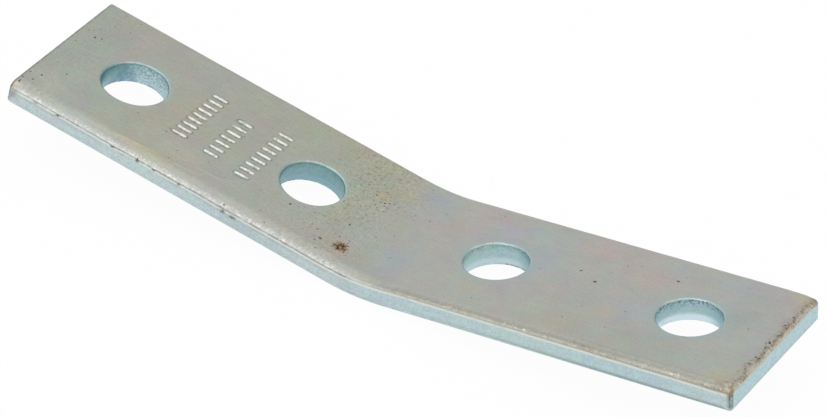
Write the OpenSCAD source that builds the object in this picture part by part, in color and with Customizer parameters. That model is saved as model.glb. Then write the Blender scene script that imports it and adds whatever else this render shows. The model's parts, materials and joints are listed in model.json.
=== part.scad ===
// Open angle bracket for channel strut: a flat steel bar with four punched
// bolt holes, bent once across its middle to a wide radius.
// Millimetres. X runs along the bracket, Y across the bar and Z up.
// It lies on the outside of its bend, with both arms rising equally, and the
// origin is under the middle of the bend, on the surface that it lies on.

/* [Bar] */
// Width of the flat bar
bar_w = 41.3; // [34:0.1:60]
// Thickness of the flat bar
bar_t = 5.8; // [4:0.1:9]

/* [Bend] */
// Angle that the bar is bent through
bend_deg = 15.8; // [5:0.1:45]
// Radius on the inside of the bend
bend_r = 48; // [20:1:70]

/* [Arms] */
// Length of each arm on its top face, from the line where the two top faces would meet
arm_len = 92.1; // [86:0.1:140]
// Radius of the arm's corners, seen from above
corner_r = 1; // [0.3:0.1:5]

/* [Holes] */
// Diameter of the smooth part of each bolt hole, for 12 mm and half-inch bolts
hole_d = 14.6; // [10:0.1:18]
// Distance from the line where the top faces would meet to the first hole
first_hole = 23.8; // [21:0.1:27]
// Distance between the two holes of an arm
hole_pitch = 47.6; // [40:0.1:52]
// Radius of the rounded rim where the punch went in
rim_r = 0.5; // [0.2:0.1:1.2]
// Depth of the torn part of the wall, where the slug broke away
torn_h = 2.3; // [1:0.1:2.6]
// How much wider the torn part is at the underside, on the radius
torn_flare = 0.5; // [0.1:0.05:1]

/* [Edges] */
// Width of the strip along the front edge that the shear rolled over
front_roll_w = 3; // [1.6:0.1:5]
// How far that strip falls below the top face
front_roll_drop = 1.4; // [0.2:0.1:1.5]
// Width of the rolled-over strip along the back edge
back_roll_w = 1.5; // [1:0.1:5]
// How far that strip falls below the top face
back_roll_drop = 0.5; // [0.2:0.1:0.9]
// Width of the rolled-over strip along the cut ends
end_roll_w = 1.5; // [1:0.1:4]
// How far that strip falls below the top face
end_roll_drop = 0.7; // [0.2:0.1:0.9]
// Radius on the bottom edges, all round
foot_edge_r = 0.8; // [0.2:0.1:1.5]

/* [Hidden] */
$fn = 96;
half_bend = bend_deg / 2;
outer_r = bend_r + bar_t;
// From the line where the top faces would meet to where the bend begins
bend_start = bend_r * tan(half_bend);
straight_len = arm_len - bend_start;
// Height of the line where the top faces would meet
meet_z = outer_r - bend_r / cos(half_bend);
// How far the cutting tools reach past the steel
past = 1;
// How far past the middle the bend is swept before it is cut off, in degrees
sweep_past = 1;
zinc = [0.70, 0.70, 0.69];

// The waste outside a rounded corner of radius r. The corner's tip is at the
// origin and the steel lies towards +X and +Y.
module corner_waste(r) {
    difference() {
        translate([-past, -past]) square(r + past);
        translate([r, r]) circle(r);
    }
}

// The waste above a rolled-over strip: its section is an arc that leaves the
// top face smoothly. The tip of the square corner is at the origin and the
// steel lies towards +X and -Y.
module roll_waste(w, drop) {
    roll_r = (w * w + drop * drop) / (2 * drop);
    difference() {
        translate([-past, -drop]) square([w + past, drop + past]);
        translate([w, -roll_r]) circle(roll_r, $fn = 360);
    }
}

// The bar's section, with its top face on y = 0 and its width along x, the
// front edge at the left
module bar_section() {
    difference() {
        translate([-bar_w / 2, -bar_t]) square([bar_w, bar_t]);
        translate([-bar_w / 2, 0]) roll_waste(front_roll_w, front_roll_drop);
        translate([bar_w / 2, 0]) mirror([1, 0]) roll_waste(back_roll_w, back_roll_drop);
        for (side = [0, 1]) mirror([side, 0])
            translate([-bar_w / 2, -bar_t]) corner_waste(foot_edge_r);
    }
}

// The bent stretch next to an arm, swept from where the arm begins to a little
// past the middle of the bracket. It lies in the arm's own frame.
module half_of_bend() {
    translate([bend_start, 0, bend_r])
        rotate([90, 90, 180])
        rotate_extrude(angle = half_bend + sweep_past, $fn = 360)
        translate([bend_r, 0]) rotate(90) bar_section();
}

// A punched hole: a rounded rim, a smooth wall and a torn part that flares.
// The tool's axis is the hole's own, with the top face on z = 0.
module punched_hole() {
    hole_r = hole_d / 2;
    flare_r = hole_r + torn_flare;
    rotate_extrude() {
        translate([0, -bar_t - past]) square([hole_r, bar_t + 2 * past]);
        intersection() {
            translate([hole_r, 0]) mirror([0, 1]) corner_waste(rim_r);
            translate([0, -bar_t]) square([hole_r + rim_r + past, bar_t + past]);
        }
        polygon([
            [0, torn_h - bar_t],
            [hole_r, torn_h - bar_t],
            [flare_r, -bar_t],
            [flare_r, -bar_t - past],
            [0, -bar_t - past],
        ]);
    }
}

// What the shear takes off an arm's end: the two corners seen from above, and
// the top and bottom edges
module end_waste() {
    for (side = [0, 1]) mirror([0, side, 0])
        translate([arm_len, -bar_w / 2, -bar_t - past])
        linear_extrude(bar_t + 2 * past)
        mirror([1, 0]) corner_waste(corner_r);
    rotate([90, 0, 0])
        linear_extrude(bar_w + 2 * past, center = true) {
            translate([arm_len, 0]) mirror([1, 0]) roll_waste(end_roll_w, end_roll_drop);
            translate([arm_len, -bar_t]) mirror([1, 0]) corner_waste(foot_edge_r);
        }
}

// The straight stretch of one arm with its holes, lying along X. The line
// where the top faces would meet is at the origin, and the top face on z = 0.
module arm() {
    difference() {
        translate([bend_start, 0, 0])
            rotate([90, 0, 90])
            linear_extrude(straight_len) bar_section();
        for (n = [0, 1]) translate([first_hole + n * hole_pitch, 0, 0]) punched_hole();
        end_waste();
    }
}

// One arm and its half of the bend, cut off square at the middle
module half_bracket() {
    intersection() {
        translate([0, 0, meet_z]) rotate([0, -half_bend, 0]) {
            arm();
            half_of_bend();
        }
        translate([0, -bar_w, -past]) cube([arm_len + bar_t, 2 * bar_w, arm_len + outer_r]);
    }
}

module bracket() {
    color(zinc)
        for (side = [0, 1]) mirror([side, 0, 0]) half_bracket();
}

bracket();
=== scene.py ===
import json
import math

import bmesh
import bpy
import numpy as np
from mathutils import Matrix, Vector


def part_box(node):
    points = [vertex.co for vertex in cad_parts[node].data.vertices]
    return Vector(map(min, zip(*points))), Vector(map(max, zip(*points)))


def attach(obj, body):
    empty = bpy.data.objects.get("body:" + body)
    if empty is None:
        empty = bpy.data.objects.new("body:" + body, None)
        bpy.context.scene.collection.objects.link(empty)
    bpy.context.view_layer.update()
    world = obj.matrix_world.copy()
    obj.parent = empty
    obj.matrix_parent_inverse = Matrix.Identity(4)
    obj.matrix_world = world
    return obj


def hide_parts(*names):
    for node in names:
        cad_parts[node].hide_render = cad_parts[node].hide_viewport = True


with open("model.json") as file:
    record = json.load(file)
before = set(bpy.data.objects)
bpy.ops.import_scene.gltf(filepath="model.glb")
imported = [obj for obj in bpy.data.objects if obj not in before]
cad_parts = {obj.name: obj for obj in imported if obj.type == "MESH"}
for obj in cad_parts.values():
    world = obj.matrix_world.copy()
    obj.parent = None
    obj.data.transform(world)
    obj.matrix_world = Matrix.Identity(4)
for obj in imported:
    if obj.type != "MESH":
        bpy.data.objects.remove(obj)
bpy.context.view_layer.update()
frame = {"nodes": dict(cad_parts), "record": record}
print("frame loaded:", sorted(frame["nodes"]))

mm = 0.001

# The bracket's form, in millimetres. Its holes, width, thickness and bend come from the frame
barForm = {
    "bendRadius": 48.0,  # inside of the bend
    "armLength": 92.1,  # along the top face, from where the two top faces would meet
    "cornerRadius": 0.6,  # seen from above
    "foot": (1.2, 0.45),  # radius of the bottom edges on the left arm and at the right end
    "footInset": 1.4,  # where the flat underside begins
    "rimRound": 0.5,  # where the punch went in
    "tornHeight": 2.3,  # rough lower part of a hole's wall
    "tornFlare": 0.5,
    "burr": 0.15,  # turned-out edge under a hole
    "wornRim": 0.95,  # how far the left end hole's rim is worn back
    "wornTowards": 26.5,  # middle of the worn part, in degrees from the left end towards the front
    "wornSpread": 0.85,  # in radians
    "wornDepth": 2.6,
    "cornerSag": (0.5, 2.5),  # further drop of the right end's back corner, and its reach
    "unevenness": ((0.03, 34, 3), (0.006, 5, 4)),  # height, length and seed of the top face's slow waves
}

# Rolled-over edges, in millimetres
edgeRolls = {
    "front": ((3.4, 1.4), (2.2, 1.02)),  # width of the strip and how far it drops, left arm and right arm
    "back": ((1.3, 0.5), (1.8, 0.65)),
    "end": ((0.9, 0.5), (1.5, 1.25)),
    "frontFar": 0.44,  # further drop of the front edge by the right end
    "steepness": 0.93,  # share of a quarter of an ellipse that a roll goes through
    "edgeGap": 0.02,  # the top face's mesh stops this far from the wall
    "wander": 0.05,  # share of the drop that comes and goes along an edge
    "crease": (0.15, 0.04),  # its depth under the left arm's rolled edge and elsewhere
    # How far below the edge the crease's rows lie, and their share of its depth
    "creaseRows": ((0.06, 0.6), (0.13, 1.0), (0.22, 0.9), (0.31, 0.5), (0.42, 0.1)),
    # The same for the rows that lead back to the wall, with their share of the edge gap
    "lipRows": ((0.55, 0.5), (0.7, 0), (0.85, 0), (1.0, 0)),
}

# How finely the bar is meshed
barMesh = {
    "alongCell": 64,  # steps along the bar for one hole's share
    "acrossBar": 60,
    "cornerSteps": 5,  # in half a corner
    "stripWidth": 4.2,  # the strip along the free edges with the finest rows
    "stripRows": 17,
    "topRings": 26,  # from a hole's rim to that strip
    "underRings": 5,
    "markCuts": 3,  # each edge of a face with a mark on it is cut this often
}

# Generic stamped ticks, three rows across the left arm, in millimetres
stampRows = {
    "rows": [(-54.8, -7.6, 9.6, 9), (-45.9, -8.3, 6.2, 7), (-36.8, -9.6, 9.2, 9)],  # along, from, to, count
    "length": 3.9,
    "width": 0.46,  # half width of a stroke
    "depth": 0.21,
    "lip": 0.03,
}

# Rust, smears and pits, in millimetres: along, across, radius, depth
barMarks = {
    "rust": [
        (-7.7, -14, 1.7, 0.1), (-12.6, -14.7, 0.42, 0.05), (-14.6, -12.6, 0.3, 0.05),
        (-16.4, -12, 0.22, 0.04), (90.9, -0.8, 0.35, 0.04), (-56.9, -20.6, 0.34, 0.02),
        (-30.9, -20.6, 0.3, 0.02), (14.5, -20, 0.3, 0.03), (-9.6, 4, 0.22, 0.03),
    ],
    "smear": [
        (53.9, -19.9, 0.35, 0), (56, -20.1, 0.4, 0), (57.6, -20.3, 0.45, 0), (58.8, -20.4, 0.35, 0),
        (62.6, -20.5, 0.3, 0), (89.3, -19.3, 0.6, 0), (88.1, -19.2, 0.4, 0), (89.9, -18.6, 0.45, 0),
    ],
    "pit": [
        (-10.2, -6, 0.35, 0.06), (-8.3, 6.1, 0.34, 0.04), (-9.1, 5.7, 0.2, 0.03), (-7.4, 6.8, 0.26, 0.03),
        (-7.9, 5.2, 0.24, 0.03), (-6.6, 7.4, 0.2, 0.03), (-8.8, 7.2, 0.18, 0.03), (-11.1, 7.3, 0.3, 0.05),
        (-9.6, -11.2, 0.24, 0.04), (-23.6, -9.8, 0.38, 0.06), (-87.5, 6.9, 0.36, 0.06),
        (-86, 7.6, 0.22, 0.05), (-88.4, -13.3, 0.34, 0.05), (-89, -16, 0.3, 0.04), (46.7, 2.9, 0.48, 0.09),
        (41.9, 5.4, 0.36, 0.06), (62.6, 11.5, 0.42, 0.08), (90.9, 10.5, 0.3, 0.03), (90.8, 6.8, 0.34, 0.03),
        (91, -2.9, 0.3, 0.03), (90.9, -7.2, 0.32, 0.03), (90.8, -10.1, 0.3, 0.03),
        (-84.6, -8.9, 0.28, 0.05), (-90.9, -18.6, 0.34, 0.03), (-91.1, -16.9, 0.3, 0.03),
        (-90.9, -14.2, 0.26, 0.03), (-7.2, 5, 0.2, 0.03), (-6.3, -15.1, 0.3, 0.03),
        (-9.3, -15.2, 0.26, 0.03), (-13.2, -16.1, 0.2, 0.03), (-18, -12.9, 0.2, 0.03),
    ],
}
# How far out each kind shows fully and where it ends, in its own radii
markReach = {"rust": (0.4, 1.7), "smear": (0.5, 1.5), "pit": (0.4, 1.1)}
pitLip = 0.02

# Dark spots on the front wall, in millimetres: along, height, radius
wallMarks = [
    (-85, -1.65, 0.45), (-78.9, -1.65, 0.5), (-64, -1.65, 0.45), (-61.3, -2.3, 0.4), (-57.2, -1.7, 0.5),
    (-52.9, -1.65, 0.45), (-46.3, -1.7, 0.5), (-34.4, -2.1, 0.55), (-31.6, -2.4, 0.65),
]

# Scratches along the left arm: where each starts and stops, along and across, and its half width
scratchLines = [
    (-66.7, -18.2, -53.5, -17, 0.22), (-52.5, -17.4, -42, -16.4, 0.22), (-47, -14.8, -37, -14.3, 0.16),
]

# Rims and walls of the holes, from left to right. Glint: the rim's bright arc, a painted highlight, in
# degrees to the left of the
# far side. Haze: reach of the soft border round the rim, a teal tint with painted shade. The rest are
# strengths; torn is that of the torn band's painted floor reflection, and deep that of the painted shade on
# the rim's left
holeLooks = [
    {"glint": (-22, 40), "haze": 1.2, "grime": 0.35, "torn": 0.08, "deep": 0.65, "worn": 1},
    {"glint": (-55, 30), "haze": 1.2, "grime": 0.35, "torn": 0.08, "deep": 1.0, "leftShade": 1},
    {"glint": (-20, 50), "haze": 1.7, "grime": 0.5, "torn": 0.5, "deep": 0.35, "rightShade": 1, "lowEdge": 1},
    {"glint": (-28, 50), "haze": 1.7, "grime": 1.0, "torn": 1.0, "deep": 0.35, "rightShade": 1},
]
farSide = (-0.446, 0.895)  # along and across the bar

# Tints of the film: a multiplier, and its places: along, across, reach along, reach across, strength
filmStains = {
    "green": ((0.93, 1.03, 0.98), [
        (-88, 3, 7, 20, 0.8), (-72, -13, 8, 7, 0.6), (-17, 5.5, 3.5, 4.5, 0.8), (29, 17, 6, 4, 0.7),
        (49, 1, 6, 6, 0.3), (85, -13, 6, 6, 0.5),
    ]),
    "blue": ((0.91, 1.0, 1.09), [(1, 15, 4.5, 4.5, 1.1), (3.5, -11, 4.5, 5, 0.9), (33, 5.5, 4.5, 6, 1)]),
    "violet": ((0.98, 0.97, 1.07), [(20, 12, 5, 4, 0.8), (60, -3, 5, 5, 0.6), (75, 16, 6, 4, 0.9)]),
    "pink": ((1.08, 0.96, 0.95), [
        (-76, 16, 9, 5, 0.6), (8.5, 8.5, 6, 5, 0.9), (16, 17, 7, 3.5, 0.8), (43, 14, 6, 6, 1),
        (55.5, 11, 6, 5, 0.9),
    ]),
    "tan": ((1.07, 0.99, 0.87), [
        (-67, -8, 7, 6, 0.5), (-57, -2, 7, 9, 0.6), (-16, 18, 8, 6, 1), (-9.8, 7.8, 1.6, 1.6, 1.5),
        (-6.5, 12.5, 4.5, 3.5, 0.8), (-8.5, -14, 4.5, 2.6, 0.9), (-60, -17.2, 12, 1.4, 0.7),
        (23.7, -12.7, 1.6, 1.2, 1), (54.2, -6.6, 2.2, 1.6, 0.9), (90.5, 19, 4, 4, 1.3),
        (88.5, -18.5, 4, 3.5, 1.1),
    ]),
    "olive": ((1.0, 1.02, 0.88), [
        (-53, -17.5, 9, 4, 0.4), (-44, 4, 16, 8, 0.5), (-33, 16, 14, 5, 0.6), (-15, 3, 10, 9, 0.9),
        (45, -13, 10, 6, 0.3), (50, -16, 42, 6, 0.6),
    ]),
    "slate": ((0.92, 0.965, 0.98), [
        (-24, 11.5, 7, 4, 0.6), (-12.5, 13, 5, 5, 0.7), (79.8, 5, 3, 7, 0.7), (67, -14, 11, 6, 1),
        (83, 6, 5, 9, 1),
    ]),
    "mist": ((0.98, 1.05, 1.1), [(-75, -15.6, 4.5, 4, 0.9), (22.7, 12, 5, 3.5, 0.8), (34.5, -12, 5, 4, 0.6)]),
    "pale": ((1.1, 1.08, 1.07), [(-85, -14.5, 5, 5, 1)]),
    "rose": ((1.1, 1.045, 1.04), [(-50.5, -13.5, 5, 4, 1)]),
    # Not a tint of the film: a painted shade over the rolled front edge at the bend
    "shade": ((0.94, 0.93, 0.92), [(-2, -18, 8, 3, 0.8)]),
}

# Tints of the front wall: from, to, softness and multiplier
wallStains = [
    (-66, -34, 12, (1.0, 1.04, 1.05)),
    (-36, -14, 8, (0.96, 1.0, 0.98)),
    (50, 80, 8, (0.965, 0.985, 1.01)),
    (85, 92, 4, (1.0, 1.0, 1.08)),
]
endWallTint = (0.95, 1.04, 1.03)
endHoleTint = (0.9, 0.95, 0.99)

# Worn and stained strips of the top face, some of them painted highlight or painted shade, in millimetres
# from the front edge: from, to, softness
frontStrips = {
    "polished": (0.0, 0.9, 0.4),
    "fleckHighlight": (0.05, 0.95, 0.25),
    "rollStainShade": (0.0, 1.25, 0.5),
    "ridgeShade": (1.5, 2.0, 0.3),
    "browned": (0.05, 0.45, 0.1),
    "creamHighlight": (0.1, 0.9, 0.25),
}


# Sizes that the frame gives
def readFrame(form):
    mounts = {m["name"]: m for m in frame["record"]["mounts"]}
    holes = [mounts["right_inner_hole"], mounts["right_end_hole"]]
    head, seat = mounts["right_head_seat"], mounts["right_strut_seat"]
    up = Vector(head["axis"])
    thick = (Vector(head["pos_m"]) - Vector(seat["pos_m"])).dot(up) / mm
    half, radius = math.atan2(-up.x, up.z), form["bendRadius"]
    arm = Vector((math.cos(half), 0, math.sin(half)))
    meet = Vector((0, 0, radius + thick - radius / math.cos(half)))
    # A length along the flat bar is shorter than along the two top faces by the corner that the bend cuts
    cut = radius * math.tan(half) - radius * half
    return {
        "halfBend": half,
        "thick": thick,
        "halfWidth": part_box("bracket")[1].y / mm,
        "holeRadius": holes[0]["dims"]["r_mm"],
        "rimRadius": holes[0]["dims"]["r_mm"] + form["rimRound"],
        "outerRadius": radius + thick,
        "halfArc": radius * half,
        "holes": [(Vector(m["pos_m"]) / mm - meet).dot(arm) - cut for m in holes],
        "halfLength": form["armLength"] - cut,
    }


bar = readFrame(barForm)
print("bar read: half length %.2f, holes at %.2f and %.2f" % (bar["halfLength"], *bar["holes"]))


# Smooth random waves over a flat field, the same on every run
def waves(a, b, length, seed, count=9):
    pick = np.random.RandomState(seed)
    total = np.zeros_like(a)
    for _ in range(count):
        turn = pick.uniform(0, 2 * math.pi)
        size = length * pick.uniform(0.6, 1.6)
        phase = pick.uniform(0, 2 * math.pi)
        total += np.cos((a * math.cos(turn) + b * math.sin(turn)) * 2 * math.pi / size + phase)
    return total / math.sqrt(count)


def rise(low, high, value):
    t = np.clip((value - low) / (high - low), 0, 1)
    return t * t * (3 - 2 * t)


def fall(low, high, value):
    return 1 - rise(low, high, value)


# A bump of height 1 with soft ends
def band(value, low, high, soft):
    return rise(low - soft, low + soft, value) * fall(high - soft, high + soft, value)


# A round bump of height 1
def hump(value, middle, width):
    return np.exp(-(((value - middle) / width) ** 2))


# Width and drop of the rolled-over edges at places along the bar
def rollSizes(s):
    right = rise(-9, 9, s)
    wander = 1 + edgeRolls["wander"] * waves(s, 0 * s, 11, 5)
    sizes = {}
    for side in ("front", "back", "end"):
        (leftWidth, leftDrop), (rightWidth, rightDrop) = edgeRolls[side]
        width = leftWidth + (rightWidth - leftWidth) * right
        drop = leftDrop + (rightDrop - leftDrop) * right
        if side == "front":
            drop = drop + edgeRolls["frontFar"] * np.clip((s - 15) / 75, 0, 1)
        sizes[side] = (width, drop * wander)
    return sizes


# How much a rounded corner takes off an edge at a given distance from the other edge
def cornerLoss(gap):
    radius = barForm["cornerRadius"]
    reach = np.clip(radius - gap, 0, radius)
    return radius - np.sqrt(radius * radius - reach * reach)


# Distances from the front, back and end edges
def edgeGaps(s, y):
    front, back = bar["halfWidth"] + y, bar["halfWidth"] - y
    end = bar["halfLength"] - np.abs(s)
    loss = cornerLoss(end)
    return {"front": front - loss, "back": back - loss, "end": end - cornerLoss(np.minimum(front, back))}


# A rolled-over edge is part of an ellipse: level at the top face and steep at the edge
def rolledDrop(gap, width, drop):
    steep = edgeRolls["steepness"]
    reach = steep * np.clip((width - gap) / width, 0, 1)
    return drop * (1 - np.sqrt(1 - reach * reach)) / (1 - math.sqrt(1 - steep * steep))


# Shape of one stamped stroke or pit by distance from its middle
def dentShape(gap, half, depth, lip):
    return lip * hump(gap, 1.25 * half, 0.3 * half) - depth * fall(0.35 * half, half, gap)


# Gap from each point to the nearest stamped stroke
def strokeGap(s, y):
    gap = np.full_like(s, 9.0)
    half = stampRows["length"] / 2 - stampRows["width"]
    for along, first, last, count in stampRows["rows"]:
        for tick in range(count):
            across = first + (last - first) * tick / (count - 1)
            gap = np.minimum(gap, np.hypot(np.maximum(np.abs(s - along) - half, 0), y - across))
    return gap


# Height of the top face over its plane
def topHeight(s, y):
    gaps, sizes = edgeGaps(s, y), rollSizes(s)
    height = -np.cbrt(sum(rolledDrop(gaps[side], *sizes[side]) ** 3 for side in gaps))
    sag, sagReach = barForm["cornerSag"]
    height -= (s > 0) * sag * hump(np.hypot(gaps["back"], gaps["end"]), 0, sagReach)
    # The slow waves and the strokes fade out towards the edges and the holes
    calm = rise(0, 4, np.minimum(np.minimum(gaps["front"], gaps["back"]), gaps["end"]))
    for hole in bar["holes"]:
        calm = calm * rise(0, 3, np.hypot(np.abs(s) - hole, y) - bar["rimRadius"])
    height += calm * sum(high * waves(s, y, length, seed) for high, length, seed in barForm["unevenness"])
    height += calm * dentShape(strokeGap(s, y), stampRows["width"], stampRows["depth"], stampRows["lip"])
    for along, across, radius, depth in barMarks["rust"]:  # a scab of rust stands up around a sunken middle
        ragged = radius * (1 + 0.25 * waves(s, y, 1.4, 7))
        height += depth * hump(np.hypot(s - along, y - across), 0, ragged) * (0.6 + 0.8 * waves(s, y, 0.7, 8))
    for along, across, radius, depth in barMarks["pit"]:
        height += dentShape(np.hypot(s - along, y - across), radius, depth, pitLip)
    return height


# Points in a row: along the bar, across it and up
def pointRow(s, y, z):
    return np.stack(np.broadcast_arrays(s, y, z), 1)


# The flat bar wrapped round the bend, in metres
def bendBar(s, y, z):
    along = np.abs(s)
    turn = np.minimum(along, bar["halfArc"]) / barForm["bendRadius"]
    beyond = np.maximum(along - bar["halfArc"], 0)
    reach = barForm["bendRadius"] - z
    x = np.sign(s) * (reach * np.sin(turn) + beyond * math.cos(bar["halfBend"]))
    up = bar["outerRadius"] - reach * np.cos(turn) + beyond * math.sin(bar["halfBend"])
    return pointRow(x, y, up) * mm


# Places across the bar, a little closer together near its edges
def acrossPlaces(half, count):
    tau = np.linspace(-1, 1, count + 1)
    return half * (0.75 * tau + 0.25 * np.sin(tau * math.pi / 2))


# Points once round one hole's share of the bar, from start to stop along the right arm.
# An inset pulls the free edges in, and the corners keep their radius
def cellOutline(start, stop, inset):
    steps, across = barMesh["alongCell"], barMesh["acrossBar"]
    half, reach, radius, corner = bar["halfWidth"] - inset, stop, 0, 0
    if stop == bar["halfLength"]:
        reach, radius, corner = stop - inset, barForm["cornerRadius"], barMesh["cornerSteps"]
    cs, cy = reach - radius, half - radius  # middle of the corner's arc
    alongs = np.linspace(start, cs, steps - corner + 1)
    turns = np.linspace(0, math.pi / 2, 2 * corner + 1)[:-1]
    arc = [(radius * math.sin(turn), radius * math.cos(turn)) for turn in turns]
    near = [(s, -half) for s in alongs[:-1]] + [(cs + a, -cy - b) for a, b in arc]
    right = [(reach, y) for y in acrossPlaces(cy, across - 2 * corner)[:-1]]
    right += [(cs + b, cy + a) for a, b in arc]
    far = [(s, half) for s in alongs[:0:-1]]
    left = [(start, y) for y in acrossPlaces(half, across)[:0:-1]]
    return np.array(near + right + far + left, float).T


# Which steps of that outline lie on a free edge of the bar
def freeSteps(stop):
    steps, across = barMesh["alongCell"], barMesh["acrossBar"]
    end = stop == bar["halfLength"]
    return [True] * steps + [end] * across + [True] * steps + [False] * across


# Quads between closed rows of points. Marks tell how far below the rolled edge a row lies
def addRows(verts, faces, rows, finish, picked=None, marks=None):
    base = len(verts)
    count = len(rows[0])
    for n, row in enumerate(rows):
        mark = np.broadcast_to(0.0 if marks is None else marks[n], count)
        verts.extend(zip(map(tuple, row), mark))
    for j in range(len(rows) - 1):
        for i in range(count):
            if picked is None or picked[i]:
                a, b = base + j * count + i, base + j * count + (i + 1) % count
                faces.append(((a, b, b + count, a + count), finish))


# Extra radius of a worn rim round the hole, in the arm's own frame
def wornReach(angle, centre, side):
    if side > 0 or centre < bar["holes"][1]:
        return np.zeros_like(angle)
    turn = np.mod(angle + math.radians(barForm["wornTowards"]) + math.pi, 2 * math.pi) - math.pi
    return barForm["wornRim"] * hump(turn, 0, barForm["wornSpread"])


# Rings from a hole's rim out to a line round its share of the bar
def ringRows(centre, radius, height, line, rimLine, rings, side):
    s, y = line
    angle = np.arctan2(rimLine[1], rimLine[0] - centre)
    if height == 0:
        radius = radius + wornReach(angle, centre, side)
    rimS, rimY = centre + radius * np.cos(angle), radius * np.sin(angle)
    rows = []
    for ring in range(rings + 1):
        t = ring / rings
        t = 0.45 * t + 0.55 * 0.5 * (1 - math.cos(math.pi * t))  # closer together at both ends
        rows.append(pointRow(rimS + (s - rimS) * t, rimY + (y - rimY) * t, height))
    return rows


# The strip between the rings and the free edges, finest at the edge
def stripRows(start, stop):
    width, gap = barMesh["stripWidth"], edgeRolls["edgeGap"]
    rows = []
    for step in range(barMesh["stripRows"] + 1):
        inset = gap + (width - gap) * (1 - math.sin(step / barMesh["stripRows"] * math.pi / 2))
        rows.append(pointRow(*cellOutline(start, stop, inset), 0.0))
    return rows


# The wall of a punched hole: rounded rim, smooth land and torn flare
def holeRows(centre, outline, seed, side):
    angle = np.arctan2(outline[1], outline[0] - centre)
    worn = wornReach(angle, centre, side)
    radius, rim, thick = bar["holeRadius"], barForm["rimRound"], bar["thick"]
    torn, flare, burr = barForm["tornHeight"], barForm["tornFlare"], barForm["burr"]
    fade = np.sin(angle / 2 + math.pi / 2) ** 2  # falls to nothing where the circle closes
    ragged = waves(angle * radius, np.zeros_like(angle), 3.0, seed) * fade
    profile = []  # radius, height, how far the row wanders up and down, and how rough it is
    for turn in (step / 6 * math.pi / 2 for step in range(7)):
        profile.append((radius + rim * (1 - math.sin(turn)), -rim * (1 - math.cos(turn)), 0.0, 0.0))
    for share in (0.3, 0.6, 0.85, 1.0):
        profile.append((radius, -rim - share * (thick - rim - torn), 0.32 * share, 0.0))
    for share in (0.12, 0.3, 0.5, 0.7, 0.88):
        profile.append((radius + flare * share ** 0.8, -thick + torn * (1 - share), 0.25 * (1 - share), 1.0))
    profile.append((radius + flare, -thick + 0.1, 0.0, 0.9))
    profile.append((radius + flare + burr, -thick, 0.0, 0.0))
    rows = []
    for r, z, shift, rough in profile:
        depth = z + shift * ragged
        width = r + 0.05 * rough * waves(angle * radius, depth * 2, 1.1, seed + 1) * fade
        width = width + worn * np.clip(1 + z / barForm["wornDepth"], 0, 1)
        rows.append(pointRow(centre + width * np.cos(angle), width * np.sin(angle), depth))
    return rows


# Radius of the bottom edge at places along the bar
def footRadius(s):
    left, right = barForm["foot"]
    return left + (right - left) * rise(5, 85, s)


# The sheared wall outside: crease, lip, wall and rounded foot, with how far below the edge each row lies
def wallRows(start, stop, side):
    base, unit = cellOutline(start, stop, 0), cellOutline(start, stop, 1)
    gap, thick = edgeRolls["edgeGap"], bar["thick"]
    s, y = base + (unit - base) * gap
    top = topHeight(side * s, y)
    onLeftFront = (side < 0) * fall(-20.0, -19.0, y) * rise(1, 6, s)
    deep, light = edgeRolls["crease"]
    groove = light + (deep - light) * onLeftFront
    profile = [(gap + groove * share, top - below) for below, share in edgeRolls["creaseRows"]]
    profile += [(gap * share, top - below) for below, share in edgeRolls["lipRows"]]
    foot = footRadius(side * s)
    upper, lower = top - 1.0, foot - thick
    profile += [(0.0, upper + (lower - upper) * share) for share in (0.25, 0.5, 0.75, 1.0)]
    turns = np.linspace(0, math.pi / 2, 7)[1:]
    profile += [(foot * (1 - math.cos(turn)), foot * (1 - math.sin(turn)) - thick) for turn in turns]
    rows = [pointRow(s, y, 0.0)]  # shared with the top face's own edge
    marks = [0.0]
    for inset, z in profile:
        rows.append(pointRow(*(base + (unit - base) * inset), z))
        marks.append(top - z)
    rows.append(pointRow(*cellOutline(start, stop, barForm["footInset"]), -thick))
    marks.append(0.0)
    return rows, marks


# Finer mesh where something small is cut into the top face
def refinePatches(mesh):
    half = stampRows["length"] / 2 + 0.7
    patches = [(a - half, a + half, low - 0.9, high + 0.9) for a, low, high, _ in stampRows["rows"]]
    for along, across, radius, _ in barMarks["rust"] + barMarks["pit"]:
        reach = radius * 1.7 + 0.25
        patches.append((along - reach, along + reach, across - reach, across + reach))
    chosen = []
    for face in mesh.faces:
        s, y, z = face.calc_center_median()
        if abs(z) < 1e-6 and bar["halfWidth"] - abs(y) > 1.2:
            if any(lowS < s < highS and lowY < y < highY for lowS, highS, lowY, highY in patches):
                chosen.append(face)
    edges = list({edge for face in chosen for edge in face.edges})
    bmesh.ops.subdivide_edges(mesh, edges=edges, cuts=barMesh["markCuts"], use_grid_fill=True)
    print("refined", len(chosen), "faces for the marks")


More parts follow.
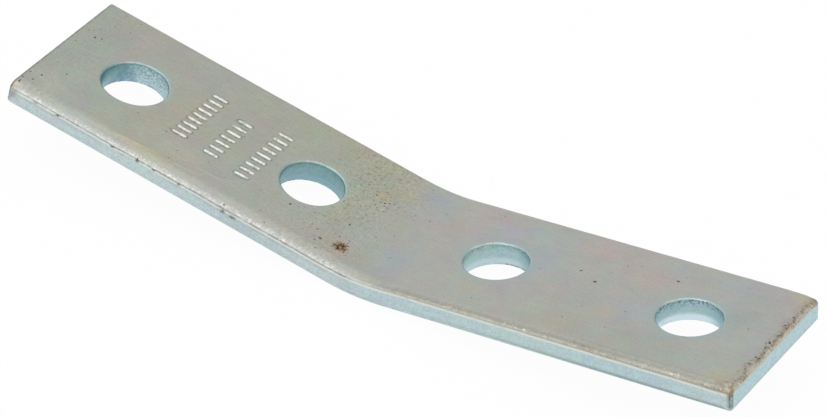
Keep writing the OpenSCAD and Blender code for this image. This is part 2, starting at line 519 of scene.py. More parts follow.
# The whole bar, meshed flat. Finishes: 0 rolled faces, 1 sheared walls, 2 hole walls
def makeBracket():
    verts, faces = [], []
    first, last = bar["holes"]
    middle = first + (last - first) / 2
    mouth = bar["holeRadius"] + barForm["tornFlare"] + barForm["burr"]
    seed = 20
    for centre, start, stop in ((first, 0.0, middle), (last, middle, bar["halfLength"])):
        rimLine = cellOutline(start, stop, 0)
        topLine = cellOutline(start, stop, barMesh["stripWidth"])
        underLine = cellOutline(start, stop, barForm["footInset"])
        free = freeSteps(stop)
        for side in (-1, 1):
            seed += 2
            top = ringRows(centre, bar["rimRadius"], 0.0, topLine, rimLine, barMesh["topRings"], side)
            under = ringRows(centre, mouth, -bar["thick"], underLine, rimLine, barMesh["underRings"], side)
            hole = holeRows(centre, rimLine, seed, side)
            walls, below = wallRows(start, stop, side)
            parts = [(top, 0), (under, 0), (stripRows(start, stop), 0, free)]
            parts += [(walls, 1, free, below), (hole[:4], 0), (hole[3:], 2)]
            for rows, *rest in parts:
                addRows(verts, faces, [row * np.array([side, 1, 1]) for row in rows], *rest)
    mesh = bmesh.new()
    markLayer = mesh.verts.layers.float.new("wallMark")
    made = []
    for point, mark in verts:
        vert = mesh.verts.new(point)
        vert[markLayer] = mark
        made.append(vert)
    for corners, finish in faces:
        mesh.faces.new([made[i] for i in corners]).material_index = finish
    bmesh.ops.remove_doubles(mesh, verts=mesh.verts, dist=1e-4)
    refinePatches(mesh)
    bmesh.ops.recalc_face_normals(mesh, faces=mesh.faces)
    return mesh


# Colour of the film's larger stains at each point, as a multiplier
def stainTint(s, y, z):
    tint = np.ones((len(s), 3))
    for colour, patches in filmStains.values():
        for along, across, reachAlong, reachAcross, strength in patches:
            bend = 0.22 * waves(s, y, 9, int(along * 3 + across) % 97)
            gap = np.hypot((s - along) / reachAlong, (y - across) / reachAcross) + bend
            amount = strength * hump(np.clip(gap, 0, 9), 0, 1)
            tint *= 1 + amount[:, None] * (np.array(colour) - 1)
    onFrontWall = (bar["halfWidth"] + y < 0.6) & (z < -1.2)
    for low, high, soft, colour in wallStains:
        amount = onFrontWall * band(s, low, high, soft)
        tint *= 1 + amount[:, None] * (np.array(colour) - 1)
    onEndWall = (bar["halfLength"] - np.abs(s) < 0.6) & (z < -1.2)
    inEndHole = (np.hypot(s - bar["holes"][1], y) < bar["holeRadius"] + 0.3) & (z < -0.3)
    tint = np.where(onEndWall[:, None], np.array(endWallTint), tint)
    return np.where(inEndHole[:, None], np.array(endHoleTint), tint)


# Masks of the ticks and of what marks the top face and the front wall
def markMasks(s, y, z, top, wallFront):
    gap = strokeGap(s, y)
    broken = rise(-0.9, 0.9, waves(s, y, 2.4, 61))
    # Painted shadow round the strokes: a dark ring, and a darker line on each stroke's front side
    outline = 0.9 * hump(gap, 0.62, 0.17) * broken
    frontShadow = hump(strokeGap(s, y + 0.62), 0, 0.22) * np.clip(1.2 - broken, 0, 1)
    shown = {}
    for kind, (full, none) in markReach.items():
        shown[kind] = np.zeros_like(s)
        for along, across, radius, _ in barMarks[kind]:
            away = np.hypot(s - along, y - across) / radius
            shown[kind] = np.maximum(shown[kind], fall(full, none, away))
    for along, height, radius in wallMarks:
        away = np.hypot(s - along, z - height) / radius
        shown["pit"] = np.maximum(shown["pit"], fall(0.3, 1.2, away) * wallFront)
    field = hump(s, -13, 10) * (0.5 + 0.5 * rise(-20, 10, y))
    return {
        # The ticks are lightened in the material: a painted highlight, partly burnished metal
        "stamped": top * fall(0.55, 1.05, gap / stampRows["width"]),
        "strokeShadow": top * np.maximum(outline, frontShadow),
        "smeared": top * shown["smear"],
        "rusted": shown["rust"] * rise(-2.0, -1.7, z),
        "pitted": shown["pit"] * rise(-3.6, -3.2, z),
        "speckField": top * (0.1 + field + 0.3 * hump(s, -86, 5)),
    }


# Masks along the front edge: the left arm's crease, darkened by painted shade, and its lip, lightened by a
# painted highlight on burnished metal, and the strips of the roll
def frontMasks(s, top, front, below, nearFront):
    wall, topRight = 1 - top, top * (s > 0)
    leftFront = nearFront * fall(-3, 0, s)
    inward = 0.2 + 0.13 * rise(-60, -46, s)
    # Painted shade darkening the crease under the rolled edge
    crease = wall * hump(below, 0.12, 0.17) + 0.5 * top * fall(0.05, inward, front)
    lipTop = 0.13 + 0.13 * leftFront
    # The lip is lightened in the material: a painted highlight, partly burnished metal
    lip = rise(lipTop, lipTop + 0.22, below) * fall(0.55, 0.85, below)
    strips = {name: band(front, *place) for name, place in frontStrips.items()}
    # Partly brown stain, partly painted shade that takes down the roll's highlight and the ridge's
    rollStainShade = np.clip(strips["rollStainShade"] + 0.6 * strips["ridgeShade"] * rise(45, 62, s), 0, 1)
    streaky = 0.85 * rise(-0.2, 0.9, waves(s, 0 * s, 16, 41)) + 0.8 * rise(76, 88, s)
    # Patches of a cream-tinted painted highlight, more towards the right front corner
    highlightPatches = rise(0.0, 0.9, waves(s, 0 * s, 12, 44)) + 0.8 * rise(62, 72, s)
    warm = top * fall(0.3, 0.5, front) + wall * nearFront * fall(0.12, 0.42, below)
    return {
        "creaseShade": leftFront * crease * (0.5 + 0.5 * rise(-88, -68, s)),
        "lipShadow": wall * leftFront * hump(below, 0.97, 0.17) * (1 - 0.9 * band(s, -68, -50, 6)),
        "lipBurnishHighlight": wall * nearFront * lip,
        "polished": top * strips["polished"] * fall(-6, 4, s),
        "fleckHighlight": top * strips["fleckHighlight"] * fall(-8, 2, s),
        "rollStainShade": topRight * rollStainShade * rise(-4, 14, s),
        "browned": topRight * strips["browned"] * np.clip(streaky, 0.15, 1) * rise(3, 12, s),
        "creamHighlight": topRight * strips["creamHighlight"] * np.clip(highlightPatches, 0.2, 1),
        "edgeWarm": (s > 0) * np.clip(warm * rise(0, 12, s), 0, 1),
    }


# Masks of the ends, the corners and the rounded foot
def endMasks(s, y, z, top, gaps, below, nearFront):
    front, back, end = gaps
    right, left = (s > 0).astype(float), (s <= 0).astype(float)
    wall, topRight = 1 - top, top * right
    nearEnd = end < 1.45
    uneven = end + 0.35 * waves(y, s, 5, 52)
    strip = band(uneven, 0.35, 1.0, 0.22)
    fading = fall(0.8, 3.0, uneven) * (uneven > 0.5)
    spread = np.clip(strip + 0.4 * band(uneven, 0.7, 2.1, 0.5), 0, 1)
    warm = top * fall(0.3, 0.6, end) + wall * nearEnd * fall(0.15, 0.8, below)
    endLine = top * left * fall(0.35, 0.75, end) + wall * left * nearEnd * (below < 0.3)
    backLine = 0.6 * top * fall(0.3, 0.7, back)
    corner = wall * hump(np.hypot(front, end), 0.45, 0.3) * (right + 0.7 * left)
    tip = np.minimum(np.hypot(front, end - 0.4), np.hypot(back, end - 0.4) + 9 * left)
    foot = z + bar["thick"] - footRadius(s)
    outside = np.minimum(np.minimum(front, back), end) < 2
    shade = (0.1 + 0.9 * rise(0, 75, s)) * (1 - 0.8 * nearEnd)
    return {
        "endBand": topRight * np.clip(strip + 0.36 * fading, 0, 1),
        "endSpots": topRight * spread * (0.45 + 0.55 * band(y, -16, 8, 3)),
        "endWarm": right * np.clip(warm, 0, 1),
        "darkEdge": np.clip(np.maximum(endLine, backLine), 0, 1),
        "cornerBrown": corner * band(-z, 1.2, 5.0, 0.3),
        "cornerGrey": wall * left * nearFront * fall(1.0, 2.8, end) * rise(-4.2, -3.0, z),
        "cornerTan": top * fall(0.6, 2.4, tip),
        # Painted highlight, cream tinted, on the top of the front corners
        "cornerHighlight": top * hump(np.hypot(front - 1.1, end - 1.3), 0, 0.7),
        "footShade": wall * outside * band(foot, -0.02, 0.34, 0.12) * shade,
    }


# Masks round the holes' rims and down their walls
def rimMasks(s, y, z):
    masks = {}
    first, last = bar["holes"]
    farX, farY = farSide
    for hole, look in zip((-last, -first, first, last), holeLooks):
        gap = np.hypot(s - hole, y) - bar["rimRadius"]
        close = (np.abs(gap) < 1.5).astype(float)
        rimTop = close * (z > -0.55)
        turn = np.degrees(np.arctan2(farX * y - farY * (s - hole), farX * (s - hole) + farY * y))
        onRight, onLeft = band(-turn, 30, 130, 20), band(turn, 45, 120, 20)
        rightShade = band(-turn, 48, 150, 22) * look.get("rightShade", 0)
        leftShade = band(turn, 48, 130, 20) * look.get("leftShade", 0)
        brokenAway = rise(0, 1.2, barForm["tornHeight"] - bar["thick"] - z + 0.3)
        haze, worn = look["haze"], look.get("worn", 0)
        shown = {
            # Teal tint round the rim with painted shade, stronger on its right
            "rimTintAndShade": hump(np.clip(gap, 0, 9), 0, haze) * (haze - 0.6 + 0.4 * onRight) * (gap < 5),
            "rimGrime": close * fall(0.3, 2.4, -z) * (z < -0.15) * look["grime"],
            # Painted reflection of the white floor on the torn lower band
            "tornFloorReflection": close * brokenAway * look["torn"] * (1 - 0.7 * rightShade),
            "sideShade": close * (z < -0.3) * np.maximum(rightShade, leftShade),
            "rimGlint": rimTop * band(gap, -0.26, -0.06, 0.07) * band(turn, *look["glint"], 12),
            # Painted shade on the left of the rim, as from a wider rounding
            "rimLeftShade": rimTop * band(gap, -0.5, 0.75 * worn, 0.15) * onLeft * look["deep"],
            # Painted soft shading over the right-hand rim, standing in for a gently rounded rim
            "rimRightShading": rimTop * (gap < -0.05) * onRight,
            "wornDark": close * rise(1.0, 2.0, -z) * band(turn, 5, 50, 12) * worn,
            "wornPale": close * (z < -0.4) * band(-turn, -10, 110, 20) * worn,
            "lowEdge": close * (z < 0.45 - bar["thick"]) * band(-turn, 0, 70, 12) * look.get("lowEdge", 0),
        }
        for name, values in shown.items():
            masks[name] = np.maximum(masks.get(name, 0), values)
    return masks


# What the materials read: where each point lies on the flat bar and what shows there
def storeMasks(data, s, y, z, top, mark):
    front, back, end = bar["halfWidth"] + y, bar["halfWidth"] - y, bar["halfLength"] - np.abs(s)
    nearFront = (front < 1.45) & (end > 1.2)
    masks = {
        "wallLow": (s <= 0) * rise(1.2, 4.5, -z),
        "rightArm": rise(-12, 8, s),
        **markMasks(s, y, z, top, (1 - top) * nearFront),
        **frontMasks(s, top, front, mark, nearFront),
        **endMasks(s, y, z, top, (front, back, end), mark, nearFront),
        **rimMasks(s, y, z),
    }
    for name, values in masks.items():
        layer = data.attributes.new(name, "FLOAT", "POINT")
        layer.data.foreach_set("value", np.asarray(values).astype(np.float32))
    for name, values in (("barPlace", pointRow(s, y, z)), ("filmTint", stainTint(s, y, z))):
        layer = data.attributes.new(name, "FLOAT_VECTOR", "POINT")
        layer.data.foreach_set("vector", values.astype(np.float32).ravel())


def dressBracket():
    mesh = makeBracket()
    data = bpy.data.meshes.new("bracketBody")
    mesh.to_mesh(data)
    mesh.free()
    flat = np.zeros(len(data.vertices) * 3)
    data.vertices.foreach_get("co", flat)
    s, y, z = flat.reshape(-1, 3).T
    mark = np.zeros(len(data.vertices))
    data.attributes["wallMark"].data.foreach_get("value", mark)
    top = (z > -1e-5).astype(float)
    z = np.where(top > 0.5, topHeight(s, y), z)
    data.vertices.foreach_set("co", bendBar(s, y, z).astype(np.float32).ravel())
    storeMasks(data, s, y, z, top, mark)
    data.update()
    body = bpy.data.objects.new("bracketBody", data)
    bpy.context.scene.collection.objects.link(body)
    for polygon in data.polygons:
        polygon.use_smooth = True
    print("bracket meshed:", len(data.polygons), "faces")
    return body


# Node helpers. An input takes a value or the socket that feeds it, and a colour is given without its alpha
def feed(tree, socket, value):
    if isinstance(value, bpy.types.NodeSocket):
        tree.links.new(value, socket)
    else:
        socket.default_value = (*value, 1) if socket.type == "RGBA" else value


# Adds a node and gives back its outputs
def addNode(tree, kind, place, inputs, **settings):
    node = tree.nodes.new("ShaderNode" + kind)
    node.location = place
    for name, value in settings.items():
        setattr(node, name, value)
    for name, value in inputs.items():
        feed(tree, node.inputs[name], value)
    return node.outputs


def newGroup(name, inputs, outputs):
    tree = bpy.data.node_groups.new(name, "ShaderNodeTree")
    kinds = {"Place": "NodeSocketVector", "Base": "NodeSocketColor", "Color": "NodeSocketColor"}
    for label, value in {"Place": None, **inputs}.items():
        kind = kinds.get(label, "NodeSocketFloat")
        socket = tree.interface.new_socket(label, in_out="INPUT", socket_type=kind)
        if value is not None:
            socket.default_value = value
    for label in outputs:
        tree.interface.new_socket(label, in_out="OUTPUT", socket_type=kinds.get(label, "NodeSocketFloat"))
    given, out = tree.nodes.new("NodeGroupInput"), tree.nodes.new("NodeGroupOutput")
    given.location, out.location = (-1100, 0), (900, 0)
    return tree, given.outputs, out.inputs


def mathNode(tree, place, operation, *values, clamp=False):
    inputs = dict(enumerate(values))
    return addNode(tree, "Math", place, inputs, operation=operation, use_clamp=clamp)[0]


def vectorMath(tree, place, operation, first, second):
    inputs = {0: first, "Scale" if operation == "SCALE" else 1: second}
    return addNode(tree, "VectorMath", place, inputs, operation=operation)["Vector"]


def mixColours(tree, place, factor, first, second, blend="MIX"):
    inputs = {"Factor": factor, "A": first, "B": second}
    return addNode(tree, "Mix", place, inputs, data_type="RGBA", blend_type=blend)["Result"]


def rangeNode(tree, place, value, low, high, start=0.0, stop=1.0):
    inputs = {"Value": value, "From Min": low, "From Max": high, "To Min": start, "To Max": stop}
    return addNode(tree, "MapRange", place, inputs)["Result"]


def noiseNode(tree, place, vector, scale, detail, roughness):
    inputs = {"Vector": vector, "Scale": scale, "Detail": detail, "Roughness": roughness}
    return addNode(tree, "TexNoise", place, inputs)["Fac"]


def readMask(tree, name, place, output="Fac"):
    return addNode(tree, "Attribute", place, {}, attribute_name=name)[output]


# The film over a base colour: soft clouds of many hues, a fine mottle, and streaks along the bar
def filmGroup():
    inputs = {"Base": None, "Cloud Size": 0.3, "Strength": 0.3, "Mottle": 0.05}
    tree, given, out = newGroup("passivationFilm", inputs, ["Color"])
    clouds = {"Vector": given["Place"], "Scale": given["Cloud Size"], "Detail": 4.0, "Roughness": 0.62}
    cloud = addNode(tree, "TexNoise", (-800, 300), {**clouds, "Distortion": 0.4})["Color"]
    centred = vectorMath(tree, (-600, 300), "SUBTRACT", cloud, (0.5, 0.5, 0.5))
    spread = vectorMath(tree, (-400, 300), "SCALE", centred, given["Strength"])
    tint = vectorMath(tree, (-200, 300), "ADD", spread, (1, 1, 1))
    tinted = vectorMath(tree, (0, 200), "MULTIPLY", given["Base"], tint)
    fine = noiseNode(tree, (-800, -200), given["Place"], 2.6, 3.0, 0.7)
    drawn = vectorMath(tree, (-1000, -500), "MULTIPLY", given["Place"], (0.1, 1.0, 1.0))
    streak = noiseNode(tree, (-800, -500), drawn, 1.6, 2.0, 0.6)
    joined = mathNode(tree, (-700, -200), "MULTIPLY_ADD", streak, 0.3, fine)
    apart = mathNode(tree, (-600, -200), "SUBTRACT", joined, 0.65)
    part = mathNode(tree, (-400, -200), "MULTIPLY", apart, given["Mottle"])
    shade = mathNode(tree, (-200, -200), "MULTIPLY_ADD", part, 4.0, 1.0)
    feed(tree, out["Color"], vectorMath(tree, (200, 100), "SCALE", tinted, shade))
    return tree


# Fine grain of the plating: a height and a small change of roughness
def grainGroup():
    inputs = {"Fine": 3.2, "Coarse": 0.9}
    tree, given, out = newGroup("platingGrain", inputs, ["Height", "Mottle"])
    fine = noiseNode(tree, (-600, 200), given["Place"], given["Fine"], 4.0, 0.6)
    coarse = noiseNode(tree, (-600, -100), given["Place"], given["Coarse"], 3.0, 0.5)
    part = mathNode(tree, (-300, 200), "MULTIPLY", fine, 0.4)
    feed(tree, out["Height"], mathNode(tree, (-100, 100), "ADD", part, coarse))
    feed(tree, out["Mottle"], coarse)
    return tree


# Scattered dark specks: a mask from a few cells of a point pattern
def speckGroup():
    inputs = {"Density": 0.5, "Spacing": 1.1, "Size": 0.2}
    tree, given, out = newGroup("straySpecks", inputs, ["Mask"])
    pattern = {"Vector": given["Place"], "Scale": given["Spacing"], "Randomness": 1.0}
    cells = addNode(tree, "TexVoronoi", (-800, 200), pattern, feature="F1")
    parts = addNode(tree, "SeparateColor", (-600, 0), {0: cells["Color"]})
    vary = mathNode(tree, (-500, -100), "MULTIPLY_ADD", parts[1], 0.8, 0.4)
    size = mathNode(tree, (-400, 100), "MULTIPLY", given["Size"], vary)
    near = mathNode(tree, (-300, 200), "LESS_THAN", cells["Distance"], size)
    kept = mathNode(tree, (-300, 0), "LESS_THAN", parts[0], given["Density"])
    feed(tree, out["Mask"], mathNode(tree, (100, 100), "MULTIPLY", near, kept))
    return tree


# One thin scratch along the bar, which may slant
def scratchGroup():
    inputs = {"Start": 0.0, "Stop": 1.0, "Across": 0.0, "Slope": 0.0, "Width": 0.1}
    tree, given, out = newGroup("longScratch", inputs, ["Mask"])
    parts = addNode(tree, "SeparateXYZ", (-900, 0), {0: given["Place"]})
    begun = mathNode(tree, (-500, 300), "SUBTRACT", parts["X"], given["Start"])
    left = mathNode(tree, (-500, 150), "SUBTRACT", given["Stop"], parts["X"])
    slant = mathNode(tree, (-700, -200), "MULTIPLY_ADD", begun, given["Slope"], given["Across"])
    gap = mathNode(tree, (-500, -100), "SUBTRACT", parts["Y"], slant)
    near = mathNode(tree, (-300, -100), "ABSOLUTE", gap)
    share = mathNode(tree, (-100, -100), "DIVIDE", near, given["Width"])
    line = mathNode(tree, (100, -100), "SUBTRACT", 1.0, share, clamp=True)
    opened = mathNode(tree, (-300, 300), "MULTIPLY", begun, 0.3, clamp=True)
    closed = mathNode(tree, (-300, 150), "MULTIPLY", left, 0.3, clamp=True)
    span = mathNode(tree, (0, 200), "MULTIPLY", opened, closed)
    feed(tree, out["Mask"], mathNode(tree, (300, 0), "MULTIPLY", line, span))
    return tree


# Zinc on the rolled top and bottom faces. The base goes from the left arm's colour to the right arm's.
# Layers: mask, colour, strength, and the scale and range of the noise that breaks it up, if one does
rolledZinc = {
    "base": ((0.345, 0.352, 0.318), (0.383, 0.388, 0.366)),
    "film": {"Cloud Size": 0.16, "Strength": 0.32, "Mottle": 0.12},
    "roughness": 0.37,
    "grain": (0.75, 0.13),  # strength, and height in millimetres
    "specks": (0.34, (0.2, 0.165, 0.12)),  # density and colour
    "scratches": (0.7, (0.53, 0.52, 0.4)),
    "rust": ((0.03, 0.022, 0.014), (0.3, 0.205, 0.115)),
    "layers": [
        # Teal tint round the rims with painted shade, stronger on their right
        ("rimTintAndShade", (0.32, 0.41, 0.41), 0.65, 0.25, 0.34, 0.56),
        # Painted shade on the left of the rims, as from a wider rounding
        ("rimLeftShade", (0.17, 0.29, 0.29), 0.85, 0.9, 0.3, 0.52),
        # Painted soft shading over the right-hand rims
        ("rimRightShading", (0.4, 0.51, 0.52), 0.6),
        ("speckField", (0.17, 0.15, 0.11), 0.65, 1.25, 0.52, 0.66),
        ("speckField", (0.57, 0.56, 0.52), 0.45, 1.1, 0.54, 0.68),
        ("polished", (0.4, 0.405, 0.39), 0.8),
        # Painted highlight: bright flecks along the left arm's rolled edge
        ("fleckHighlight", (0.6, 0.6, 0.57), 0.75, 1.7, 0.52, 0.62),
        # Partly brown stain, partly painted shade that takes down the right arm's roll highlight
        ("rollStainShade", (0.255, 0.25, 0.215), 0.7),
        ("rimGlint", (0.56, 0.59, 0.56), 0.7, 0.55, 0.42, 0.56),
        # Painted shadow round the ticks
        ("strokeShadow", (0.1, 0.1, 0.085), 0.85, 1.0, 0.3, 0.54),
        # Painted highlight in the ticks, partly burnished metal
        ("stamped", (0.7, 0.73, 0.72), 0.95, 0.9, 0.36, 0.54),
        # Painted shade in the crease
        ("creaseShade", (0.1, 0.095, 0.075), 0.9, 0.7, 0.3, 0.56),
        ("edgeWarm", (0.33, 0.325, 0.285), 0.8),
        ("endWarm", (0.48, 0.45, 0.38), 0.8),
        ("endWarm", (0.25, 0.18, 0.11), 0.6, 1.6, 0.48, 0.62),
        ("endWarm", (0.66, 0.62, 0.52), 0.8, 1.9, 0.5, 0.6),
        # Painted highlight, cream tinted, in patches on the right arm's rolled edge
        ("creamHighlight", (0.68, 0.66, 0.58), 0.7, 2.0, 0.56, 0.62),
        ("browned", (0.17, 0.125, 0.075), 0.75, 1.7, 0.46, 0.6),
        ("endBand", (0.245, 0.175, 0.105), 0.72, 1.3, 0.38, 0.6),
        ("endBand", (0.55, 0.49, 0.38), 0.6, 1.9, 0.55, 0.64),
        ("endSpots", (0.24, 0.12, 0.055), 0.7, 1.7, 0.51, 0.58),
        ("endSpots", (0.035, 0.03, 0.022), 0.95, 1.1, 0.56, 0.6),
        ("darkEdge", (0.12, 0.1, 0.075), 0.85, 0.6, 0.34, 0.56),
        ("cornerTan", (0.22, 0.18, 0.115), 0.8, 0.7, 0.34, 0.56),
        # Painted highlight, cream tinted, on the front corners
        ("cornerHighlight", (0.62, 0.6, 0.5), 0.8, 1.0, 0.38, 0.52),
        ("smeared", (0.2, 0.13, 0.07), 0.8, 2.3, 0.42, 0.6),
        ("pitted", (0.06, 0.045, 0.03), 0.95),
    ],
}

# Bluer zinc on the sheared walls outside
shearedZinc = {
    "base": ((0.545, 0.62, 0.648), (0.495, 0.61, 0.648)),
    "film": {"Cloud Size": 0.45, "Strength": 0.26, "Mottle": 0.2},
    "roughness": 0.44,
    "grain": (0.4, 0.09),
    "rust": ((0.07, 0.045, 0.025), (0.3, 0.2, 0.11)),
    "layers": [
        # Painted highlight on the lip under the rolled edge, partly burnished metal
        ("lipBurnishHighlight", (0.74, 0.745, 0.7), 0.95, 0.55, 0.22, 0.48),
        # Painted shade in the crease
        ("creaseShade", (0.11, 0.095, 0.075), 0.85, 0.5, 0.3, 0.54),
        ("lipShadow", (0.38, 0.36, 0.28), 0.5, 0.8, 0.32, 0.6),
        ("edgeWarm", (0.5, 0.5, 0.43), 0.9),
        ("endWarm", (0.54, 0.53, 0.46), 0.8),
        ("footShade", (0.11, 0.125, 0.12), 0.85),
        ("darkEdge", (0.14, 0.12, 0.09), 0.6, 0.9, 0.36, 0.6),
        ("cornerGrey", (0.34, 0.3, 0.27), 0.8, 0.6, 0.32, 0.54),
        ("cornerBrown", (0.15, 0.12, 0.08), 0.9, 0.8, 0.32, 0.52),
        ("pitted", (0.08, 0.065, 0.05), 0.9, 1.4, 0.2, 0.42),
    ],
}

# Deep teal zinc in the punched holes. Paler where the slug broke away, as a painted reflection of the white
# floor, and on the right arm's walls, whose paler base is painted floor reflection too
punchedZinc = {
    # The right arm's paler base is painted reflection of the white floor
    "base": ((0.24, 0.4, 0.43), (0.42, 0.575, 0.58)),
    "film": {"Cloud Size": 0.3, "Strength": 0.45, "Mottle": 0.16},
    "roughness": 0.42,
    "grain": (0.4, 0.11),
    "layers": [
        ("wallLow", (0.22, 0.38, 0.5), 0.45),
        # Painted reflection of the white floor on the torn lower band
        ("tornFloorReflection", (0.66, 0.8, 0.87), 1.0, 0.9, 0.24, 0.48),
        ("sideShade", (0.2, 0.38, 0.43), 0.55),
        # Painted shade on the left of the rims
        ("rimLeftShade", (0.17, 0.29, 0.29), 0.7),
        ("wornPale", (0.62, 0.75, 0.8), 0.85, 1.9, 0.4, 0.6),
        ("wornDark", (0.11, 0.21, 0.28), 0.5, 0.6, 0.42, 0.54),
        ("rimGrime", (0.1, 0.13, 0.12), 0.9, 2.1, 0.49, 0.58),
        ("lowEdge", (0.13, 0.11, 0.09), 0.8, 0.9, 0.36, 0.54),
    ],
}


# One kind of zinc: the tinted base with its film, then the layers and marks over it
def makeZinc(name, look, groups):
    material = bpy.data.materials.new(name)
    material.use_nodes = True
    tree = material.node_tree
    place = readMask(tree, "barPlace", (-1900, 0), "Vector")
    base = mixColours(tree, (-1700, 300), readMask(tree, "rightArm", (-1900, 300)), *look["base"])
    stains = readMask(tree, "filmTint", (-1700, 100), "Vector")
    stained = mixColours(tree, (-1500, 300), 1.0, base, stains, "MULTIPLY")
    given = {"Place": place, "Base": stained, **look["film"]}
    colour = addNode(tree, "Group", (-1300, 200), given, node_tree=groups["film"])["Color"]
    x = -1000
    for maskName, paint, strength, *breakUp in look["layers"]:
        mask = readMask(tree, maskName, (x, -500))
        amount = mathNode(tree, (x + 150, -300), "MULTIPLY", mask, strength, clamp=True)
        if breakUp:
            scale, low, high = breakUp
            noise = noiseNode(tree, (x, -700), place, scale, 4.0, 0.7)
            gate = rangeNode(tree, (x + 150, -700), noise, low, high)
            amount = mathNode(tree, (x + 300, -400), "MULTIPLY", amount, gate)
        colour = mixColours(tree, (x + 450, 100), amount, colour, paint)
        x += 300
    if "rust" in look:
        paintNoise = noiseNode(tree, (x, -950), place, 1.3, 3.0, 0.7)
        gate = rangeNode(tree, (x + 150, -900), paintNoise, 0.43, 0.56)
        paint = mixColours(tree, (x + 300, -300), gate, *look["rust"])
        noise = noiseNode(tree, (x, -700), place, 1.7, 5.0, 0.75)
        ragged = mathNode(tree, (x + 150, -600), "MULTIPLY_ADD", noise, 5.5, -3.7)
        mask = readMask(tree, "rusted", (x, -500))
        amount = mathNode(tree, (x + 300, -500), "MULTIPLY_ADD", mask, 2.3, ragged, clamp=True)
        colour = mixColours(tree, (x + 450, 100), amount, colour, paint)
    if "specks" in look:
        share, paint = look["specks"]
        field = readMask(tree, "speckField", (x + 300, 500))
        density = mathNode(tree, (x + 450, 500), "MULTIPLY", field, share)
        given = {"Place": place, "Density": density}
        specks = addNode(tree, "Group", (x + 600, 500), given, node_tree=groups["specks"])["Mask"]
        colour = mixColours(tree, (x + 800, 100), specks, colour, paint)
    if "scratches" in look:
        share, paint = look["scratches"]
        for start, fromAcross, stop, toAcross, width in scratchLines:
            slope = (toAcross - fromAcross) / (stop - start)
            given = {"Place": place, "Start": start, "Stop": stop, "Across": fromAcross, "Slope": slope}
            given["Width"] = width
            scratch = addNode(tree, "Group", (x + 900, 500), given, node_tree=groups["scratch"])["Mask"]
            faint = mathNode(tree, (x + 1000, 300), "MULTIPLY", scratch, share)
            colour = mixColours(tree, (x + 1100, 100), faint, colour, paint)
            x += 250
    grain = addNode(tree, "Group", (-1300, -300), {"Place": place}, node_tree=groups["grain"])
    strength, height = look["grain"]
    relief = {"Height": grain["Height"], "Strength": strength, "Distance": height * mm}
    bump = addNode(tree, "Bump", (x + 300, -600), relief)["Normal"]
    smoothest, roughest = look["roughness"] - 0.05, look["roughness"] + 0.06
    rough = rangeNode(tree, (x + 300, -900), grain["Mottle"], 0.3, 0.7, smoothest, roughest)
    shader = tree.nodes["Principled BSDF"].inputs
    shader["Metallic"].default_value = 1.0
    tree.links.new(colour, shader["Base Color"])
    tree.links.new(bump, shader["Normal"])
    tree.links.new(rough, shader["Roughness"])
    return material


# Camera at the photograph's angle, in degrees and metres
cameraPlace = {
    "azimuth": 26.519,
    "elevation": 35.306,
    "roll": 6.817,
    "distance": 1.0992,
    "aim": (-0.00106, 0.00606, 0.00832),
    "lens": 216.29,
}


def placeCamera():
    look = cameraPlace
    azimuth, elevation, roll = (math.radians(look[k]) for k in ("azimuth", "elevation", "roll"))
    tip = Matrix.Rotation(math.pi / 2 - elevation, 4, "X") @ Matrix.Rotation(roll, 4, "Z")
    turn = Matrix.Rotation(azimuth, 4, "Z") @ tip
    data = bpy.data.cameras.new("photoCamera")
    data.lens = look["lens"]
    data.clip_start = 0.05
    data.clip_end = 20
    camera = bpy.data.objects.new("photoCamera", data)
    away = Matrix.Translation((0, 0, look["distance"]))
    camera.matrix_world = Matrix.Translation(look["aim"]) @ turn @ away
    bpy.context.scene.collection.objects.link(camera)
    bpy.context.scene.camera = camera


# Studio: white floor, white surround and soft lamps, in metres and watts
studio = {
    "floorSize": 6.0,
    "floorDrop": 0.0002,  # gap under the bracket, so that the two don't touch
    "floorPaint": (0.86, 0.86, 0.86),
    "floorWhite": 0.96,  # how much of the floor's seen colour is plain white
    "surround": 0.85,
    # Place, size and power
    "lamps": [("overheadLamp", (-0.1, 0.1, 1.3), 1.4, 3.0), ("keyLamp", (-0.36, -0.95, 0.82), 0.7, 2.5)],
}


# 1 where the camera, a reflection or a view through something clear looks at a surface
def seenMask(tree, place):
    x, y = place
    path = addNode(tree, "LightPath", place, {})
    first = mathNode(tree, (x + 200, y), "MAXIMUM", path["Is Camera Ray"], path["Is Glossy Ray"])
    return mathNode(tree, (x + 400, y), "MAXIMUM", first, path["Is Transmission Ray"])


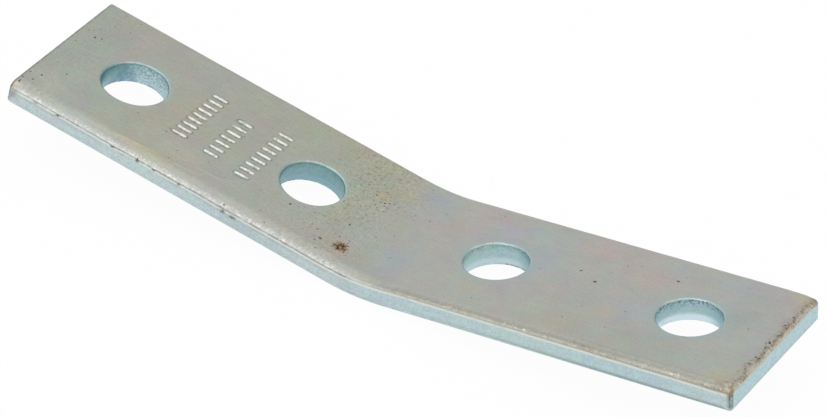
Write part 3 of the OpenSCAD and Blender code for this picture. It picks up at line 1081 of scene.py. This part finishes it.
def makeStudio():
    half = studio["floorSize"] / 2
    data = bpy.data.meshes.new("studioFloor")
    corners = [(-half, -half, 0), (half, -half, 0), (half, half, 0), (-half, half, 0)]
    data.from_pydata(corners, [], [(0, 1, 2, 3)])
    floor = bpy.data.objects.new("studioFloor", data)
    floor.location.z = -studio["floorDrop"]
    bpy.context.scene.collection.objects.link(floor)
    material = bpy.data.materials.new("whiteFloor")
    material.use_nodes = True
    tree = material.node_tree
    tree.nodes.remove(tree.nodes["Principled BSDF"])
    matt = addNode(tree, "BsdfDiffuse", (-200, 100), {"Color": studio["floorPaint"]})[0]
    glow = addNode(tree, "Emission", (-200, -100), {"Strength": 1.0})[0]
    share = mathNode(tree, (0, 300), "MULTIPLY", seenMask(tree, (-800, 300)), studio["floorWhite"])
    blend = addNode(tree, "MixShader", (0, 0), {0: share, 1: matt, 2: glow})[0]
    tree.links.new(blend, tree.nodes["Material Output"].inputs["Surface"])
    data.materials.append(material)

    world = bpy.data.worlds.new("whiteSurround")
    world.use_nodes = True
    tree = world.node_tree
    lit = tree.nodes["Background"]
    lit.inputs["Strength"].default_value = studio["surround"]
    lit.inputs["Color"].default_value = (1, 1, 1, 1)
    seen = addNode(tree, "Background", (0, -200), {"Strength": 1.0, "Color": (1, 1, 1)})[0]
    parts = {0: seenMask(tree, (-800, 300)), 1: lit.outputs[0], 2: seen}
    blend = addNode(tree, "MixShader", (200, 0), parts)[0]
    tree.links.new(blend, tree.nodes["World Output"].inputs["Surface"])
    bpy.context.scene.world = world

    for name, spot, size, power in studio["lamps"]:
        lamp = bpy.data.lights.new(name, "AREA")
        lamp.shape = "SQUARE"
        lamp.size = size
        lamp.energy = power
        holder = bpy.data.objects.new(name, lamp)
        holder.location = spot
        holder.rotation_euler = Vector(spot).to_track_quat("Z", "Y").to_euler()
        bpy.context.scene.collection.objects.link(holder)


placeCamera()
makeStudio()
print("studio ready")

groups = {"film": filmGroup(), "grain": grainGroup(), "specks": speckGroup(), "scratch": scratchGroup()}
body = dressBracket()
for name, look in (("rolledZinc", rolledZinc), ("shearedZinc", shearedZinc), ("punchedZinc", punchedZinc)):
    body.data.materials.append(makeZinc(name, look, groups))
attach(body, "root")
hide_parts("bracket")
print("bracket dressed")

bpy.context.scene.view_settings.view_transform = "Standard"
